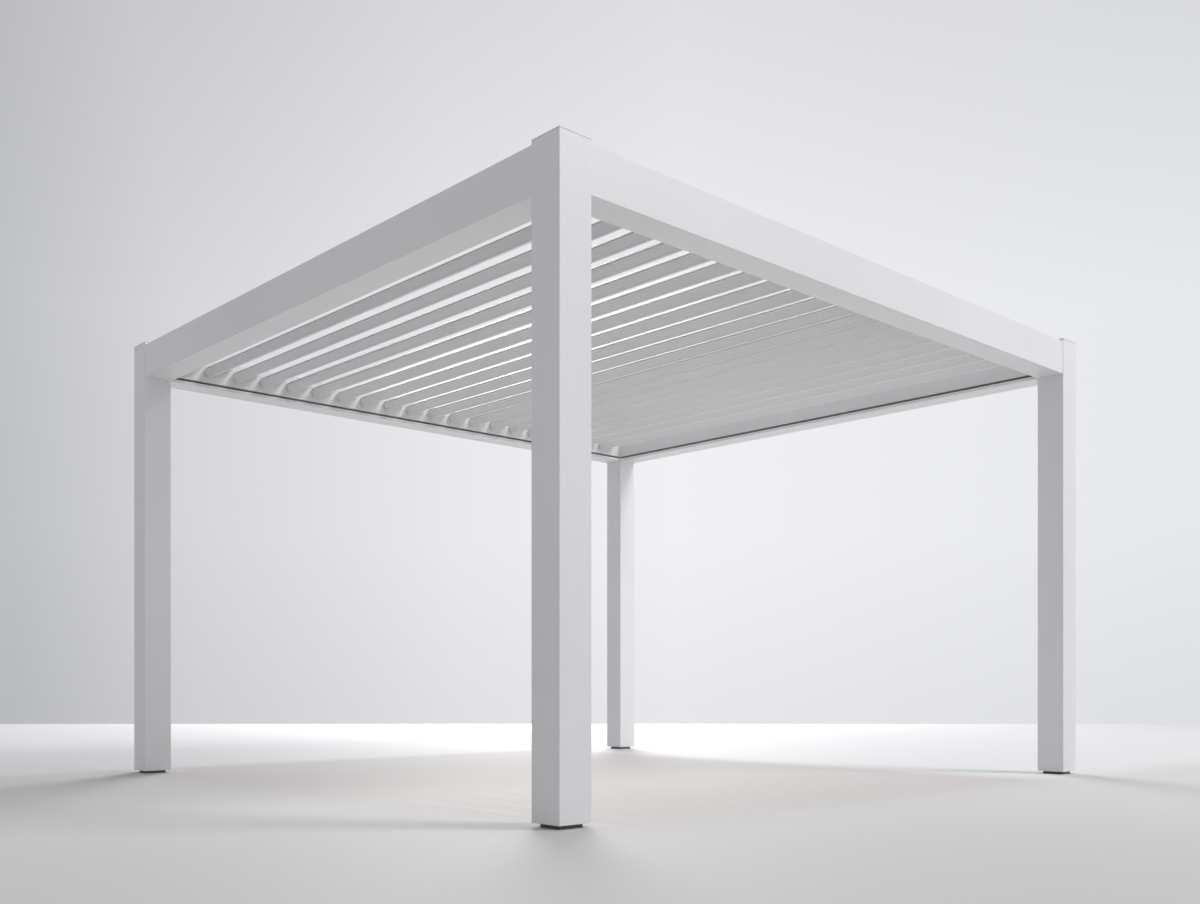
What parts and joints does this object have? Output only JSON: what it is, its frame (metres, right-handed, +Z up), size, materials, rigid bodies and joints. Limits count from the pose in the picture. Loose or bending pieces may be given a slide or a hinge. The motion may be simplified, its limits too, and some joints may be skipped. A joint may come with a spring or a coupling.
{
  "type": "louvred roof pergola",
  "caption": "Free-standing aluminium pergola with four posts, a gutter frame and a roof of turning louvre blades.",
  "frame": {"origin": "on the floor, in the middle of the four posts' plan", "axes": "+X across the louvre blades, +Y along them, +Z up"},
  "size_m": [4.08, 3.91, 2.565],
  "materials": {
    "coated_frame": "satin powder coat",
    "coated_cap": "satin powder coat",
    "coated_blade": "satin powder coat",
    "foot_metal": "dark satin coat",
    "rod_metal": "mill finish"
  },
  "bodies": {
    "frame": {"front_post": "coated_frame", "front_post_cap": "coated_cap", "front_foot": "foot_metal", "left_post": "coated_frame", "left_post_cap": "coated_cap", "left_foot": "foot_metal", "right_post": "coated_frame", "right_post_cap": "coated_cap", "right_foot": "foot_metal", "back_post": "coated_frame", "back_post_cap": "coated_cap", "back_foot": "foot_metal", "front_left_beam": "coated_frame", "front_left_gutter": "coated_frame", "back_right_beam": "coated_frame", "back_right_gutter": "coated_frame", "front_right_beam": "coated_frame", "front_right_gutter": "coated_frame", "back_left_beam": "coated_frame", "back_left_gutter": "coated_frame"},
    "blade_01": {"blade_01": "coated_blade"},
    "blade_02": {"blade_02": "coated_blade"},
    "blade_03": {"blade_03": "coated_blade"},
    "blade_04": {"blade_04": "coated_blade"},
    "blade_05": {"blade_05": "coated_blade"},
    "blade_06": {"blade_06": "coated_blade"},
    "blade_07": {"blade_07": "coated_blade"},
    "blade_08": {"blade_08": "coated_blade"},
    "blade_09": {"blade_09": "coated_blade"},
    "blade_10": {"blade_10": "coated_blade"},
    "blade_11": {"blade_11": "coated_blade"},
    "blade_12": {"blade_12": "coated_blade"},
    "blade_13": {"blade_13": "coated_blade"},
    "blade_14": {"blade_14": "coated_blade"},
    "blade_15": {"blade_15": "coated_blade"},
    "blade_16": {"blade_16": "coated_blade"},
    "blade_17": {"blade_17": "coated_blade"},
    "blade_18": {"blade_18": "coated_blade"},
    "blade_19": {"blade_19": "coated_blade"},
    "blade_20": {"blade_20": "coated_blade"},
    "push_rod": {"push_rod": "rod_metal"}
  },
  "joints": [
    {"name": "blade_01_turn", "type": "hinge", "parent": "frame", "child": "blade_01", "pos_m": [-1.75825, 0, 2.488], "axis": [0, -1, 0], "range_deg": [-29, 61]},
    {"name": "blade_02_turn", "type": "hinge", "parent": "frame", "child": "blade_02", "pos_m": [-1.57475, 0, 2.488], "axis": [0, -1, 0], "range_deg": [-29, 61]},
    {"name": "blade_03_turn", "type": "hinge", "parent": "frame", "child": "blade_03", "pos_m": [-1.39125, 0, 2.488], "axis": [0, -1, 0], "range_deg": [-29, 61]},
    {"name": "blade_04_turn", "type": "hinge", "parent": "frame", "child": "blade_04", "pos_m": [-1.20775, 0, 2.488], "axis": [0, -1, 0], "range_deg": [-29, 61]},
    {"name": "blade_05_turn", "type": "hinge", "parent": "frame", "child": "blade_05", "pos_m": [-1.02425, 0, 2.488], "axis": [0, -1, 0], "range_deg": [-29, 61]},
    {"name": "blade_06_turn", "type": "hinge", "parent": "frame", "child": "blade_06", "pos_m": [-0.84075, 0, 2.488], "axis": [0, -1, 0], "range_deg": [-29, 61]},
    {"name": "blade_07_turn", "type": "hinge", "parent": "frame", "child": "blade_07", "pos_m": [-0.65725, 0, 2.488], "axis": [0, -1, 0], "range_deg": [-29, 61]},
    {"name": "blade_08_turn", "type": "hinge", "parent": "frame", "child": "blade_08", "pos_m": [-0.47375, 0, 2.488], "axis": [0, -1, 0], "range_deg": [-29, 61]},
    {"name": "blade_09_turn", "type": "hinge", "parent": "frame", "child": "blade_09", "pos_m": [-0.29025, 0, 2.488], "axis": [0, -1, 0], "range_deg": [-29, 61]},
    {"name": "blade_10_turn", "type": "hinge", "parent": "frame", "child": "blade_10", "pos_m": [-0.10675, 0, 2.488], "axis": [0, -1, 0], "range_deg": [-29, 61]},
    {"name": "blade_11_turn", "type": "hinge", "parent": "frame", "child": "blade_11", "pos_m": [0.07675, 0, 2.488], "axis": [0, -1, 0], "range_deg": [-29, 61]},
    {"name": "blade_12_turn", "type": "hinge", "parent": "frame", "child": "blade_12", "pos_m": [0.26025, 0, 2.488], "axis": [0, -1, 0], "range_deg": [-29, 61]},
    {"name": "blade_13_turn", "type": "hinge", "parent": "frame", "child": "blade_13", "pos_m": [0.44375, 0, 2.488], "axis": [0, -1, 0], "range_deg": [-29, 61]},
    {"name": "blade_14_turn", "type": "hinge", "parent": "frame", "child": "blade_14", "pos_m": [0.62725, 0, 2.488], "axis": [0, -1, 0], "range_deg": [-29, 61]},
    {"name": "blade_15_turn", "type": "hinge", "parent": "frame", "child": "blade_15", "pos_m": [0.81075, 0, 2.488], "axis": [0, -1, 0], "range_deg": [-29, 61]},
    {"name": "blade_16_turn", "type": "hinge", "parent": "frame", "child": "blade_16", "pos_m": [0.99425, 0, 2.488], "axis": [0, -1, 0], "range_deg": [-29, 61]},
    {"name": "blade_17_turn", "type": "hinge", "parent": "frame", "child": "blade_17", "pos_m": [1.17775, 0, 2.488], "axis": [0, -1, 0], "range_deg": [-29, 61]},
    {"name": "blade_18_turn", "type": "hinge", "parent": "frame", "child": "blade_18", "pos_m": [1.36125, 0, 2.488], "axis": [0, -1, 0], "range_deg": [-29, 61]},
    {"name": "blade_19_turn", "type": "hinge", "parent": "frame", "child": "blade_19", "pos_m": [1.54475, 0, 2.488], "axis": [0, -1, 0], "range_deg": [-29, 61]},
    {"name": "blade_20_turn", "type": "hinge", "parent": "frame", "child": "blade_20", "pos_m": [1.72825, 0, 2.488], "axis": [0, -1, 0], "range_deg": [-29, 61]},
    {"name": "push_rod_pivot", "type": "hinge", "parent": "blade_01", "child": "push_rod", "pos_m": [-1.77065, -1.823, 2.44474], "axis": [0, -1, 0], "range_deg": [-61, 29]}
  ],
  "couplings": [
    {"joint": "blade_02_turn", "follows": "blade_01_turn", "ratio": 1},
    {"joint": "blade_03_turn", "follows": "blade_01_turn", "ratio": 1},
    {"joint": "blade_04_turn", "follows": "blade_01_turn", "ratio": 1},
    {"joint": "blade_05_turn", "follows": "blade_01_turn", "ratio": 1},
    {"joint": "blade_06_turn", "follows": "blade_01_turn", "ratio": 1},
    {"joint": "blade_07_turn", "follows": "blade_01_turn", "ratio": 1},
    {"joint": "blade_08_turn", "follows": "blade_01_turn", "ratio": 1},
    {"joint": "blade_09_turn", "follows": "blade_01_turn", "ratio": 1},
    {"joint": "blade_10_turn", "follows": "blade_01_turn", "ratio": 1},
    {"joint": "blade_11_turn", "follows": "blade_01_turn", "ratio": 1},
    {"joint": "blade_12_turn", "follows": "blade_01_turn", "ratio": 1},
    {"joint": "blade_13_turn", "follows": "blade_01_turn", "ratio": 1},
    {"joint": "blade_14_turn", "follows": "blade_01_turn", "ratio": 1},
    {"joint": "blade_15_turn", "follows": "blade_01_turn", "ratio": 1},
    {"joint": "blade_16_turn", "follows": "blade_01_turn", "ratio": 1},
    {"joint": "blade_17_turn", "follows": "blade_01_turn", "ratio": 1},
    {"joint": "blade_18_turn", "follows": "blade_01_turn", "ratio": 1},
    {"joint": "blade_19_turn", "follows": "blade_01_turn", "ratio": 1},
    {"joint": "blade_20_turn", "follows": "blade_01_turn", "ratio": 1},
    {"joint": "push_rod_pivot", "follows": "blade_01_turn", "ratio": -1}
  ]
}
